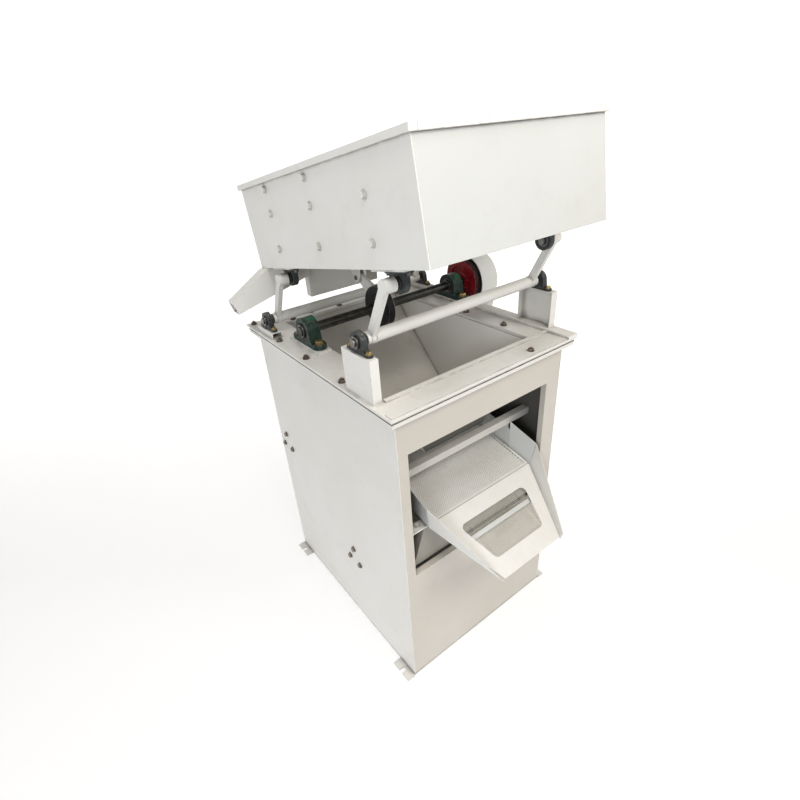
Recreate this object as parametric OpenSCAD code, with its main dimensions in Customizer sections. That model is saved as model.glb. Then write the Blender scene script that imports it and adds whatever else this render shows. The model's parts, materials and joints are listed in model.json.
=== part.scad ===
// Free-standing vibrating grain sieve: a sheet-metal cabinet with a sieve box rocking on top of it.
// Millimetres. The floor is z = 0, the front faces -Y, and the cabinet is centred on the Z axis.

/* [Cabinet] */
// Width of the cabinet over its side walls
cab_w = 630; // [610:5:650]
// Depth of the cabinet over its front and back walls
cab_d = 790; // [770:5:830]
// Height of the cabinet walls
cab_h = 1044; // [1030:2:1060]
// Thickness of the wall sheet
sheet = 3; // [2:0.5:4]
// Leg of the angle iron in the base and the corners
angle_leg = 40; // [30:5:50]

/* [Top frame] */
// Overhang of the top frame outside the cabinet walls
rim_over = 28; // [20:2:32]
// Thickness of the top frame's rails
rim_t = 6; // [5:1:8]
// Width of the side rails that carry the bearings
rail_w = 108; // [100:2:116]
// Width of the front and back rails
end_rail_w = 88; // [70:2:100]

/* [Front window] */
// Strip of front wall left of the window
win_left = 34; // [30:2:50]
// Strip of front wall right of the window
win_right = 59; // [40:2:65]
// Bottom edge of the window above the floor
win_low = 467; // [440:1:480]
// Top edge of the window above the floor
win_high = 911; // [880:1:930]

/* [Sieve box] */
// Width of the sieve box
box_w = 560; // [550:2:570]
// Length of the sieve box along its own slope
box_len = 850; // [840:2:856]
// Height of the sieve box walls
box_h = 232; // [215:1:260]
// Slope of the sieve box, down towards the back, in degrees
box_slope = 10; // [9.5:0.25:10.5]
// Thickness of the sieve box sheet
box_t = 3; // [2.5:0.5:3.5]
// Height of the rim around the sieve box's open top
box_rim_h = 15; // [10:1:20]

/* [Rockers] */
// Height of the front rocker's shaft above the floor
rock_z = 1196; // [1192:1:1200]
// Distance of the front rocker's shaft behind the cabinet's front face
rock_back = 116; // [110:1:124]
// Distance between the two rocker shafts along the slope
rock_pitch = 568; // [560:1:572]
// Forward lean of a rocker arm, measured from foot to head
arm_fwd = 73; // [70:1:76]
// Rise of a rocker arm, measured from foot to head
arm_up = 138; // [134:1:142]
// Diameter of the rocker cross tubes
rock_tube_d = 32; // [28:1:34]
// Diameter of the rocker stub shafts and head pins
rock_pin_d = 20; // [18:1:22]

/* [Drive] */
// Distance of the drive shaft behind the middle of the cabinet
drive_y = 102; // [98:1:106]
// Diameter of the drive shaft
drive_d = 30; // [28:1:30]
// Throw of the eccentric
throw = 5; // [3:0.5:5]
// Outer diameter of the driven pulley
big_d = 150; // [140:2:156]
// Outer diameter of the motor pulley
small_d = 64; // [60:2:70]

/* [Lower tray] */
// Width of the tray between its side walls
tray_w = 432; // [400:2:440]
// Slope of the tray floor, down towards the front, in degrees
tray_slope = 12.6; // [11.6:0.2:13.4]
// Slope of the chute ahead of the tray floor, in degrees
chute_slope = 28; // [26:1:30]
// Height of the fold between tray floor and chute above the floor
fold_z = 622; // [614:1:628]
// Width of the chute at its lip
lip_w = 240; // [200:5:260]

/* [Hidden] */
$fn = 48;
eps = 0.01;
seam = 0.2;           // gap between bars that are welded end to end
fit = 0.05;           // radial running clearance of a shaft in its bearing
air = 0.3;            // gap between a bolt shank and its hole

// colours
paint = [0.89, 0.88, 0.85];
shade = [0.80, 0.79, 0.76];
green = [0.05, 0.30, 0.18];
iron = [0.27, 0.28, 0.29];
black = [0.06, 0.06, 0.07];
steel = [0.55, 0.55, 0.56];
zinc = [0.72, 0.60, 0.30];
red = [0.60, 0.06, 0.09];

// cabinet
half_w = cab_w / 2;
half_d = cab_d / 2;
rim_top = cab_h + rim_t;
rim_x = half_w + rim_over;
rim_y = half_d + rim_over;
rail_in = rim_x - rail_w;
end_in = rim_y - end_rail_w;
left_in = rim_x - 42; // inner edge of the left rail in front of the drive
left_step = -205;     // where the left rail widens, behind the left post
strip_w = 40;         // raised strip along the right rail, in front of the drive
strip_h = 8;
lug_t = 5;
lug_x = 346;          // outer edge of a foot lug
lug_y0 = 316;         // inner end of a foot lug
lug_y1 = 398;         // outer end of a foot lug
slot_r = 7;
slot_x = 334;         // centre of a foot slot's round end
slot_y = 357;

// rockers: foot axis, head axis and the side of the machine each end sits on
front_y = -half_d + rock_back;
rear_y = front_y + rock_pitch * cos(box_slope);
rear_z = rock_z - rock_pitch * sin(box_slope);
arm_len = norm([arm_fwd, arm_up]);
arm_lean = atan2(arm_fwd, arm_up);
left_bearing_x = -317;
right_bearing_x = 325;
small_h = 28;         // centre height of a small pillow block
small_len = 100;
small_w = 18;
small_bolt_at = 39;
arm_t = 14;
arm_wide = 22;
head_out = 29;        // arm's outer face inside of the foot bearing's centre
head_in = 60;         // head boss's inner face inside of the foot bearing's centre
head_bearing = 79;    // head bearing's centre inside of the foot bearing's centre

// sieve box: its own frame starts at the lower front edge, y along the slope, z square to it
pin_along = 160;
pin_drop = 35;
box_y = front_y - arm_fwd - pin_along * cos(box_slope) + pin_drop * sin(box_slope);
box_z = rock_z + arm_up + pin_along * sin(box_slope) + pin_drop * cos(box_slope);
half_box = box_w / 2;
bolt_cols = [178, 425, 672];
bolt_rows = [55, 151, 215];
ledge_h = 130;
outlet_len = 34;      // opening in the pan along the back wall

// drive
pad_t = 8;
drive_h = 43;         // centre height of a large pillow block
drive_z = rim_top + pad_t + drive_h;
drive_left_x = -264;
drive_right_x = 320;
big_r = big_d / 2;
small_r = small_d / 2;
pulley_x = 370;
pulley_w = 34;
motor_y = 230;
motor_z = 400;
motor_shaft_r = 12;
belt_in = 7;          // depth of the belt's inner face below a pulley's rim
belt_out = 1;         // height of its outer face above the rim
belt_rows = [9, 25];  // belt centres from the pulley's inner face
guard_x0 = 385;       // open edge of the belt guard
guard_x1 = 462;       // its closed outer face
guard_t = 3;
rod_len = 150;
rod_dir = atan2(arm_fwd, arm_up);  // the rod lies along the way the box moves
rod_x = 16;
rod_t = 10;
rod_pin_r = 8;
ecc_r = 46;
ecc_w = 12;
ecc_x = 4;
head_x0 = -8;         // rod head's outer face
head_x1 = 15.8;       // face against the rod
head_cover = 3;
head_r = 70;
head_gap = throw * (1 + sqrt(2)) + 0.9;
rod_pin_y = drive_y + rod_len * cos(rod_dir);
rod_pin_z = drive_z + rod_len * sin(rod_dir);

// lower tray and the slides inside the cabinet
fold_y = -half_d + 10;
tray_back = -60;
tray_t = 2;
chute_reach = 209;
lip_y = fold_y - chute_reach;
lip_z = fold_z - chute_reach * tan(chute_slope);
bar_y = -280;
bar_z = 748;
bar_half = 12.5;
tray_flare = [6, 30];   // outward lean of the left and the right tray wall over the fold
neck_top = [708, 742];  // top of the left and the right tray wall at the cross bar
fold_wall_h = 63;       // height of a tray wall over the fold
lip_wall_h = 6;
wall_drop = 8;          // depth of a tray wall's foot below the floor
tray_wall_h = 70;       // height of a tray wall behind the cross bar
lug_z = 606;            // underside of the brackets under the tray
lug_deep = 34;
apron_low = 268;        // half width of the apron's lower edge
outlet_z = 770;
outlet_x = 120;
outlet_y0 = -262;
outlet_y1 = -130;
bar_a = [336, 585];
bar_b = [-81, 310];
slide_slope = atan2(bar_a[1] - bar_b[1], bar_a[0] - bar_b[0]);
tri_r = 36;           // circle of each three-bolt group
bar_end_r = 50;
window_fold = 20;     // depth of the folded edge round the window
left_bolts = [-178, 22, 200, 404];
right_bolts = [-213, -44, 299];
tube_in = 18;         // tube's end inside of the foot bearing's centre

// outlets under the back of the sieve box
spout_y0 = 290;
spout_y1 = 333;
throat_x = 138;
throat_y0 = 304;
throat_low = 1124;
spout_top = [[-277, 1300], [-277, 1256], [-412, 1174]];
spout_low = [[-400, 1135], [-285, 1165], [-throat_x - seam, 1203]];

function tri(k) = [tri_r * sin(120 * k), tri_r * cos(120 * k)];
function tray_at(y) = fold_z + (y - fold_y) * tan(tray_slope);

// ---- shared shapes ----
module box3(x0, x1, y0, y1, z0, z1) translate([x0, y0, z0]) cube([x1 - x0, y1 - y0, z1 - z0]);
module along_x(x0, x1, y, z, r, fn = 48)
  translate([x0, y, z]) rotate([0, 90, 0]) cylinder(r = r, h = x1 - x0, $fn = fn);
module profile_x(x0, x1) translate([x0, 0, 0]) rotate([90, 0, 90]) linear_extrude(x1 - x0) children();
module profile_y(y0, y1) translate([0, y1, 0]) rotate([90, 0, 0]) linear_extrude(y1 - y0) children();
module both_sides() for (s = [0, 1]) mirror([s, 0, 0]) children();
module in_box() translate([0, box_y, box_z]) rotate([-box_slope, 0, 0]) children();
module hex_head(r, h) cylinder(r = r, h = h, $fn = 6);
// a bolt standing on z = 0 with its shank down to -len, and a nut on the far side when nut is over 0
module bolt(r, len, nut = 0, washer = 2) {
  cylinder(r = 2.1 * r, h = washer);
  translate([0, 0, washer]) hex_head(1.75 * r, 1.2 * r);
  translate([0, 0, -len]) cylinder(r = r, h = len + eps);
  if (nut > 0) translate([0, 0, -nut - r]) hex_head(1.75 * r, r);
}
// pillow block housing with its axis on X at the origin and its foot at z = -h
module pillow(h, len, w, foot_t, body_r, bore_r, bolt_r, bolt_at) difference() {
  union() {
    translate([-w / 2, -len / 2 + w / 2, -h]) cube([w, len - w, foot_t]);
    for (s = [-1, 1]) translate([0, s * (len - w) / 2, -h]) cylinder(r = w / 2, h = foot_t);
    along_x(-w / 2 + 1, w / 2 - 1, 0, 0, body_r);
    profile_x(-w / 2 + 1, w / 2 - 1)
      polygon([[-body_r, 0], [-body_r * 1.12, -h + foot_t], [-body_r * 1.12, -h],
        [body_r * 1.12, -h], [body_r * 1.12, -h + foot_t], [body_r, 0]]);
  }
  along_x(-w, w, 0, 0, bore_r);
  for (s = [-1, 1]) translate([0, s * bolt_at, -h - 1]) cylinder(r = bolt_r, h = foot_t + 2, $fn = 24);
}
// bearing insert: outer ring, and inner ring standing proud on the -X side
module insert(w, r, bore) difference() {
  union() {
    along_x(-w / 2, w / 2, 0, 0, r);
    along_x(-w / 2 - 7, -w / 2 + eps, 0, 0, bore + 5.5);
  }
  along_x(-w, w, 0, 0, bore);
}
// places a child at the foot bearings of one rocker, left then right
module at_feet(y, z) {
  translate([left_bearing_x, y, z]) children(0);
  translate([right_bearing_x, y, z]) mirror([1, 0, 0]) children(0);
}

// ---- cabinet ----
module base_frame() color(shade) difference() {
  box3(-half_w + sheet, half_w - sheet, -half_d + sheet, half_d - sheet, 0, angle_leg);
  box3(-half_w + sheet + angle_leg, half_w - sheet - angle_leg, -half_d + sheet + angle_leg,
    half_d - sheet - angle_leg, -1, angle_leg + 1);
  box3(-half_w + sheet + 4, half_w - sheet - 4, -half_d + sheet + 4, half_d - sheet - 4, 4, angle_leg + 1);
}
module foot_lugs() color(paint) for (sx = [-1, 1], sy = [-1, 1]) scale([sx, sy, 1]) difference() {
  box3(half_w + seam, lug_x, lug_y0, lug_y1, 0, lug_t);
  translate([slot_x, slot_y, -1]) cylinder(r = slot_r, h = lug_t + 2);
  box3(slot_x, lug_x + 1, slot_y - slot_r, slot_y + slot_r, -1, lug_t + 1);
}
module wall_holes(x) for (c = [bar_a, bar_b], k = [0:2])
  along_x(x - 1, x + sheet + 1, c[0] + tri(k)[0], c[1] + tri(k)[1], 5 + air, 24);
module left_panel() color(paint) difference() {
  box3(-half_w, -half_w + sheet, -half_d, half_d, 0, cab_h);
  wall_holes(-half_w);
}
module right_panel() color(paint) difference() {
  box3(half_w - sheet, half_w, -half_d, half_d, 0, cab_h);
  wall_holes(half_w - sheet);
  along_x(half_w - sheet - 1, half_w + 1, motor_y, motor_z, motor_shaft_r + 10);
}
module window(grow, y0, y1) box3(-half_w + win_left - grow, half_w - win_right + grow, y0, y1,
  win_low - grow, win_high + grow);
module front_panel() color(paint) difference() {
  union() {
    box3(-half_w + sheet, half_w - sheet, -half_d, -half_d + sheet, 0, cab_h);
    window(2, -half_d + sheet - eps, -half_d + window_fold);
  }
  window(0, -half_d - 1, -half_d + window_fold + 1);
}
module back_panel() color(paint)
  box3(-half_w + sheet, half_w - sheet, half_d - sheet, half_d, 0, cab_h);
module corner_uprights() color(shade) difference() {
  for (sx = [-1, 1], sy = [-1, 1]) scale([sx, sy, 1]) {
    x = half_w - sheet;
    y = half_d - sheet;
    leg = angle_leg - 12;
    profile = [[x, y], [x - leg, y], [x - leg, y - 4], [x - 4, y - 4], [x - 4, y - leg], [x, y - leg]];
    translate([0, 0, angle_leg + seam]) linear_extrude(cab_h - angle_leg - 2 * seam) polygon(profile);
  }
  along_x(-half_w, half_w, bar_a[0], bar_a[1], bar_end_r + 1);
}
module ring_bars(x1, y1, x0, y0, z0, z1) {
  for (s = [-1, 1]) scale([s, 1, 1]) box3(x0, x1, -y1, y1, z0, z1);
  for (s = [-1, 1]) scale([1, s, 1]) box3(-x0 + seam, x0 - seam, y0, y1, z0, z1);
}
module cabinet_flange() color(paint) {
  step = rim_over - 6;
  ring_bars(half_w + step, half_d + step, half_w + seam, half_d + seam, cab_h - 6, cab_h);
  ring_bars(half_w + step, half_d + step, half_w + step - 4, half_d + step - 4, cab_h - 22, cab_h - 6);
}
module top_frame() color(paint) {
  difference() {
    ring_bars(rim_x, rim_y, rail_in, end_in, cab_h, rim_top);
    box3(-left_in, -rail_in + 1, -end_in, left_step, cab_h - 1, rim_top + 1);
  }
  box3(rim_x - strip_w, rim_x, -rim_y, drive_y - 100, rim_top - eps, rim_top + strip_h);
  box3(-left_in, rim_x - strip_w - seam, -end_in - 12, -end_in, rim_top - eps, rim_top + 5);
}
module frame_bolts() color(iron) {
  for (y = left_bolts) translate([-322, y, rim_top]) bolt(5, 0);
  for (y = right_bolts) translate([256, y, rim_top]) bolt(5, 0);
  for (x = [-120, 166]) translate([x, end_in + 30, rim_top]) bolt(5, 0);
  translate([166, -end_in - 62, rim_top]) bolt(5, 0);
  for (x = [-200, -12]) translate([x, end_in + 12, rim_top]) bolt(5, 0);
}

// ---- hopper between the sieve box and the lower tray ----
module plate4(a, b, c, d, t) hull() for (p = [a, b, c, d]) translate(p) cube(t, center = true);
module hopper_back() color(shade)
  plate4([-left_in + 9, end_in - 4, cab_h - 6], [rail_in - 8, end_in - 4, cab_h - 6],
    [outlet_x, outlet_y1, outlet_z], [-outlet_x, outlet_y1, outlet_z], 2);
module hopper_sides() color(paint) for (side = [[-1, left_in - 4], [1, rail_in - 4]]) scale([side[0], 1, 1])
  plate4([side[1], end_in - 4, cab_h - 4], [side[1], -end_in + 4, cab_h - 4],
    [outlet_x + 3, outlet_y0 + 2, outlet_z], [outlet_x + 3, outlet_y1 - 2, outlet_z], 2);
module hopper_front() color(shade)
  plate4([-left_in + 9, -end_in + 2, cab_h - 4], [rail_in - 8, -end_in + 2, cab_h - 4],
    [outlet_x - 1, outlet_y0 - 1, outlet_z], [-outlet_x + 1, outlet_y0 - 1, outlet_z], 2);
module bar_end(c) along_x(-half_w + sheet, -half_w + sheet + 6, c[0], c[1], bar_end_r);
module cross_bars() color(shade) {
  box3(-half_w + sheet + seam, half_w - sheet - seam, bar_y - bar_half, bar_y + bar_half,
    bar_z - bar_half, bar_z + bar_half);
  for (c = [bar_a, bar_b]) {
    translate([0, c[0], c[1]]) rotate([slide_slope, 0, 0])
      box3(-half_w + sheet + 5, half_w - sheet - 5, -18, 18, -18, 18);
    both_sides() difference() {
      bar_end(c);
      for (k = [0:2]) along_x(-half_w, -half_w + 20, c[0] + tri(k)[0], c[1] + tri(k)[1], 5 + air, 24);
    }
  }
}
module fines_slide() color(shade) translate([0, bar_b[0], bar_b[1]]) rotate([slide_slope, 0, 0])
  box3(-half_w + 14, half_w - 14, -160, 548, 18 + seam, 20 + seam);
module wall_bolts() color(iron) both_sides() for (c = [bar_a, bar_b], k = [0:2])
  translate([-half_w, c[0] + tri(k)[0], c[1] + tri(k)[1]]) rotate([0, -90, 0]) bolt(5, 17, 9, 1.5);

// ---- lower tray ----
module tray_floor() color(paint) translate([0, fold_y, fold_z]) rotate([tray_slope, 0, 0])
  box3(-tray_w / 2, tray_w / 2, 1, (tray_back - fold_y) / cos(tray_slope), -tray_t, 0);
module thin(a, b, c) hull() for (p = [a, b, c]) translate(p) sphere(r = 1, $fn = 8);
// one bent wall in two flat triangles: foot line a to b, top line d to c
module bent_wall(a, b, c, d) {
  thin(a, b, c);
  thin(a, c, d);
}
module tray_walls() color(paint) {
  x = tray_w / 2 + seam;
  neck = bar_y - bar_half - 4;
  under_bar = bar_z - bar_half - seam;
  for (k = [0, 1]) scale([2 * k - 1, 1, 1]) {
    profile_x(x, x + tray_t) polygon([
      [neck, tray_at(neck) - wall_drop], [neck, tray_at(neck) + tray_wall_h],
      [bar_y - 8, tray_at(bar_y) + tray_wall_h], [bar_y - 8, under_bar], [bar_y + 8, under_bar],
      [bar_y + 8, tray_at(bar_y) + tray_wall_h], [tray_back, tray_at(tray_back) + tray_wall_h],
      [tray_back, tray_at(tray_back) - wall_drop]]);
    bent_wall([x + 1, neck, tray_at(neck) - wall_drop + 1], [x + 1, fold_y + 1.3, fold_z - wall_drop + 1],
      [x + 1 + tray_flare[k], fold_y + 1.3, fold_z + fold_wall_h], [x + 1, neck, neck_top[k]]);
  }
  box3(-tray_w / 2, tray_w / 2, tray_back + 1, tray_back + 3, tray_at(tray_back) + 2,
    tray_at(tray_back) + tray_wall_h);
}
module chute_floor_outline() {
  len = chute_reach / cos(chute_slope);
  polygon([[-tray_w / 2, 0], [tray_w / 2, 0], [lip_w / 2, -len], [-lip_w / 2, -len]]);
}
module chute_window() {
  r = 16;
  hull() for (p = [[-118, -66], [118, -66], [88, -165], [-88, -165]]) translate(p) circle(r = r, $fn = 24);
}
module in_chute() translate([0, fold_y, fold_z]) rotate([chute_slope, 0, 0]) children();
module tray_chute() color(paint) {
  in_chute() translate([0, 0, -tray_t]) linear_extrude(tray_t) difference() {
    chute_floor_outline();
    chute_window();
  }
  for (k = [0, 1]) scale([2 * k - 1, 1, 1])
    bent_wall([tray_w / 2 + 1, fold_y - 1.3, fold_z - wall_drop], [lip_w / 2 + 3, lip_y, lip_z - wall_drop],
      [lip_w / 2 + 14, lip_y - 1, lip_z + lip_wall_h],
      [tray_w / 2 + 1 + tray_flare[k], fold_y - 1.3, fold_z + fold_wall_h]);
}
module tray_mesh() color(steel) in_chute() translate([0, 0, -tray_t - 14]) linear_extrude(1.5)
  polygon([[-150, -30], [150, -30], [104, -196], [-104, -196]]);
module tray_mesh_bar() color(paint) in_chute()
  box3(-136, 136, -104, -90, -tray_t - 12.3, -tray_t - 4);
module tray_lugs() color(paint) {
  y0 = -half_d + window_fold + seam;
  y1 = y0 + lug_deep;
  x0 = tray_w / 2 - 20;
  for (s = [-1, 1]) scale([s, 1, 1]) {
    x1 = half_w + 2 - (s < 0 ? win_left : win_right);
    box3(x0, x1, y0, y1, lug_z, lug_z + 5);
    profile_x(x0, x0 + 5) polygon([[y0, lug_z + 5 - eps], [y1, lug_z + 5 - eps], [y1, tray_at(y1) - 2.3],
      [y0, tray_at(y0) - 2.3]]);
    translate([tray_w / 2 + 22, y1 - 14, lug_z + 5 - eps]) bolt(4, 0);
  }
}
// open funnel of sheet under the tray
module tray_apron() color(shade) {
  top = [tray_w / 2 - 2, fold_y + 22, tray_back - 20];
  low = [apron_low, fold_y + 16, tray_back];
  z1 = lug_z - 1.4;
  z0 = win_low + 8;
  for (k = [1, 2]) plate4([-top[0] + 2, top[k], z1], [top[0] - 2, top[k], z1],
    [low[0] - 2, low[k], z0], [-low[0] + 2, low[k], z0], 2);
  both_sides() plate4([top[0], top[1], z1], [top[0], top[2], z1], [low[0], low[2], z0],
    [low[0], low[1], z0], 2);
}

// ---- supports on the top frame ----
module post(base) {
  x0 = -16;
  for (y = [-62, 59]) box3(x0 + 3 - eps, 10, y, y + 3, base, -small_h - 3);
  box3(x0, x0 + 3, -62, 62, base, -small_h);
  box3(x0 + 3 - eps, 10, -62, 62, -small_h - 3 - eps, -small_h);
}
module left_post() color(paint) translate([left_bearing_x, front_y, rock_z]) post(rim_top - rock_z);
module right_post() color(paint) translate([right_bearing_x, front_y, rock_z]) mirror([1, 0, 0])
  post(rim_top + strip_h - rock_z);
module bearing_pads() color(paint) {
  at_feet(rear_y, rear_z) difference() {
    box3(-16, 16, -56, 56, rim_top - rear_z, -small_h);
    box3(-13.5, 13.5, -57, 57, rim_top - rear_z + 2.5, -small_h - 2.5);
  }
  for (x = [drive_left_x, drive_right_x]) box3(x - 23, x + 23, drive_y - 92, drive_y + 92, rim_top,
    rim_top + pad_t);
}
module small_housing() pillow(small_h, small_len, small_w, 7, 26, 17, 4 + air, small_bolt_at);
module rocker_housings() color(iron) {
  at_feet(front_y, rock_z) small_housing();
  at_feet(rear_y, rear_z) small_housing();
}
module drive_housings() color(green) for (x = [drive_left_x, drive_right_x])
  translate([x, drive_y, drive_z]) pillow(drive_h, 165, 44, 14, 39, 26, 7 + air, 60);
module bearing_inserts() color(steel) {
  at_feet(front_y, rock_z) insert(small_w - 4, 17, rock_pin_d / 2 + fit);
  at_feet(rear_y, rear_z) insert(small_w - 4, 17, rock_pin_d / 2 + fit);
  translate([drive_left_x, drive_y, drive_z]) insert(38, 26, drive_d / 2 + fit);
  translate([drive_right_x, drive_y, drive_z]) insert(38, 26, drive_d / 2 + fit);
}
module bearing_bolts() color(zinc) {
  for (f = [[front_y, rock_z], [rear_y, rear_z]], s = [-1, 1])
    at_feet(f[0] + s * small_bolt_at, f[1] - small_h + 7) bolt(4, 7);
  for (x = [drive_left_x, drive_right_x], s = [-1, 1])
    translate([x, drive_y + s * 60, drive_z - drive_h + 14]) bolt(7, 14);
}

// ---- motor, belt and guard ----
module motor_body() color(green) {
  difference() {
    union() {
      along_x(60, 250, motor_y, motor_z, 70, 64);
      along_x(250, 262, motor_y, motor_z, 78, 64);
      along_x(14, 60 + eps, motor_y, motor_z, 72, 64);
      for (k = [0:17]) translate([0, motor_y, motor_z]) rotate([k * 20, 0, 0])
        box3(64, 246, -1.5, 1.5, 66, 79);
      for (x = [88, 196]) box3(x, x + 30, motor_y - 68, motor_y + 68, motor_z - 80, motor_z - 60);
      box3(110, 200, motor_y - 126, motor_y - 64, motor_z - 32, motor_z + 32);
    }
    along_x(0, 270, motor_y, motor_z, motor_shaft_r + fit);
    along_x(10, 50, motor_y, motor_z, 66);
  }
}
module motor_bed() color(shade) {
  box3(60, half_w - sheet - 5, motor_y - 100, motor_y + 100, motor_z - 86, motor_z - 80);
  box3(half_w - sheet - 5 - eps, half_w - sheet - seam, motor_y - 100, motor_y + 100, motor_z - 190,
    motor_z - 80);
  for (y = [motor_y - 100, motor_y + 94]) profile_y(y, y + 6)
    polygon([[100, motor_z - 86 + eps], [half_w - sheet - 5, motor_z - 86 + eps],
      [half_w - sheet - 5, motor_z - 180]]);
}
module loop(r_big, r_small) hull() {
  translate([drive_y, drive_z]) circle(r = r_big, $fn = 72);
  translate([motor_y, motor_z]) circle(r = r_small, $fn = 48);
}
module drive_belt() color(black) for (x = belt_rows) {
  profile_x(pulley_x + x - 5, pulley_x + x + 5) difference() {
    loop(big_r + belt_out, small_r + belt_out);
    loop(big_r - belt_in, small_r - belt_in);
  }
}
module pulley(r, bore, hub) difference() {
  rotate([0, 90, 0]) rotate_extrude($fn = 96) difference() {
    square([r, pulley_w]);
    for (b = belt_rows) polygon([[r + 1, b - 6.9], [r - 11, b - 5.5], [r - 11, b + 5.5], [r + 1, b + 6.9]]);
    if (hub > 0) for (z = [-1, pulley_w - 7]) translate([hub, z]) square([r - 18 - hub, 8]);
  }
  along_x(-1, pulley_w + 1, 0, 0, bore);
}
module guard_shape(grow) loop(big_r + 16 + grow, small_r + 26 + grow);
module belt_guard() color(paint) {
  difference() {
    profile_x(guard_x0, guard_x1) guard_shape(guard_t);
    profile_x(guard_x0 - 1, guard_x1 - guard_t) guard_shape(0);
  }
  for (z = [500, 860], s = [-1, 1]) {
    share = (z - motor_z) / (drive_z - motor_z);
    y = motor_y + share * (drive_y - motor_y) + s * (small_r + 27 + share * (big_r - small_r - 10));
    box3(half_w, guard_x0 - seam, y - 4, y + 4, z - 15, z + 15);
  }
}

// ---- turning parts ----
module drive_shaft() color(steel) along_x(drive_left_x - 30, pulley_x + pulley_w + 6, drive_y, drive_z,
  drive_d / 2);
module drive_pulley() color(red) translate([pulley_x, drive_y, drive_z]) pulley(big_r, drive_d / 2, 28);
module eccentric() color(steel) difference() {
  along_x(ecc_x - ecc_w / 2, ecc_x + ecc_w / 2, drive_y, drive_z + throw, ecc_r);
  along_x(-30, 30, drive_y, drive_z, drive_d / 2);
}
module motor_shaft() color(steel) along_x(20, pulley_x + pulley_w + 6, motor_y, motor_z, motor_shaft_r);
module motor_pulley() color(iron) translate([pulley_x, motor_y, motor_z])
  pulley(small_r, motor_shaft_r, 0);

// ---- rockers ----
module rocker_tube(y, z) difference() {
  along_x(left_bearing_x + tube_in, right_bearing_x - tube_in, y, z, rock_tube_d / 2);
  along_x(left_bearing_x, left_bearing_x + 60, y, z, rock_pin_d / 2);
  along_x(right_bearing_x - 60, right_bearing_x, y, z, rock_pin_d / 2);
}
module rocker_arm() rotate([arm_lean, 0, 0]) difference() {
  union() {
    box3(head_out, head_out + arm_t, -arm_wide / 2, arm_wide / 2, rock_tube_d / 2 - 4, arm_len);
    along_x(head_out, head_in, 0, arm_len, 17);
  }
  along_x(0, head_in + 1, 0, 0, rock_tube_d / 2);
  along_x(head_out + 6, head_in + 1, 0, arm_len, rock_pin_d / 2);
}
module rocker_pins(y, z) at_feet(y, z) {
  union() {
    along_x(-19, 60, 0, 0, rock_pin_d / 2);
    rotate([arm_lean, 0, 0]) along_x(head_out + 6, head_bearing + 15, 0, arm_len, rock_pin_d / 2);
  }
}
module front_tube() color(paint) rocker_tube(front_y, rock_z);
module rear_tube() color(paint) rocker_tube(rear_y, rear_z);
module front_arms() color(paint) at_feet(front_y, rock_z) rocker_arm();
module rear_arms() color(paint) at_feet(rear_y, rear_z) rocker_arm();
module front_pins() color(steel) rocker_pins(front_y, rock_z);
module rear_pins() color(steel) rocker_pins(rear_y, rear_z);

// ---- sieve box, in its own frame ----
module side_holes(x0, x1, rows) for (c = bolt_cols, r = rows)
  if (!(c == bolt_cols[0] && r == bolt_rows[2])) along_x(x0, x1, c, r, 5 + air, 24);
module box_sides() color(paint) in_box() both_sides() difference() {
  box3(half_box - box_t, half_box, 0, box_len, 0, box_h);
  side_holes(half_box - box_t - 1, half_box + 1, bolt_rows);
}
module box_front() color(paint) in_box()
  box3(-half_box + box_t, half_box - box_t, 0, box_t, 0, box_h);
module box_back() color(paint) in_box()
  box3(-half_box + box_t, half_box - box_t, box_len - box_t, box_len, 0, box_h);
module box_pan() color(shade) in_box()
  box3(-half_box + box_t, half_box - box_t, box_t, box_len - box_t - outlet_len, 0, box_t);
module box_rim() color(paint) in_box() {
  x1 = half_box + 8;
  x0 = half_box - 12;
  box_rim_bars(x1, x0, box_h, box_h + box_rim_h);
}
module box_rim_bars(x1, x0, z0, z1) {
  both_sides() box3(x0, x1, -8, box_len + 8, z0, z1);
  for (y = [-8, box_len - 12]) box3(-x0 + seam, x0 - seam, y, y + 20, z0, z1);
}
module sieve_screen() color(steel) in_box()
  box3(-half_box + box_t + 6, half_box - box_t - 6, box_t + 1, box_len - 90, ledge_h + 4, ledge_h + 6);
module screen_ledges() color(shade) in_box() both_sides() difference() {
  union() {
    box3(half_box - box_t - 5, half_box - box_t, box_t + 2, box_len - 60, ledge_h, ledge_h + 40);
    box3(half_box - box_t - 30, half_box - box_t - 4, box_t + 2, box_len - 60, ledge_h, ledge_h + 4);
  }
  side_holes(half_box - 20, half_box, [bolt_rows[1]]);
}
module box_bolts() color(paint) in_box() both_sides() for (c = bolt_cols, r = bolt_rows)
  if (!(c == bolt_cols[0] && r == bolt_rows[2])) {
    depth = r == bolt_rows[1] ? 8 : box_t;
    translate([half_box, c, r]) rotate([0, 90, 0]) bolt(5, depth + 8, depth, 2);
  }

module under_box() intersection() {
  children();
  in_box() box3(-500, 500, -50, box_len + 20, -400, -seam);
}
module side_spout() color(paint) under_box() difference() {
  profile_y(spout_y0, spout_y1)
    polygon(concat(spout_top, spout_low, [[-throat_x - seam, 1300]]));
  profile_y(spout_y0 + 2, spout_y1 - 2) polygon([[-275, 1400], [-275, 1252], [-430, 1157.5],
    [-430, 1129.5], [-285, 1167.3], [-throat_x - 2, 1205.4], [-throat_x - 2, 1400]]);
}
module drop_throat() color(shade) under_box() difference() {
  box3(-throat_x, throat_x, throat_y0, spout_y1, throat_low, 1300);
  box3(-throat_x + 2, throat_x - 2, throat_y0 + 2, spout_y1 - 2, throat_low - 1, 1301);
}
module at_heads() for (p = [pin_along, pin_along + rock_pitch]) {
  translate([left_bearing_x + head_bearing, p, -pin_drop]) children();
  translate([right_bearing_x - head_bearing, p, -pin_drop]) mirror([1, 0, 0]) children();
}
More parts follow.
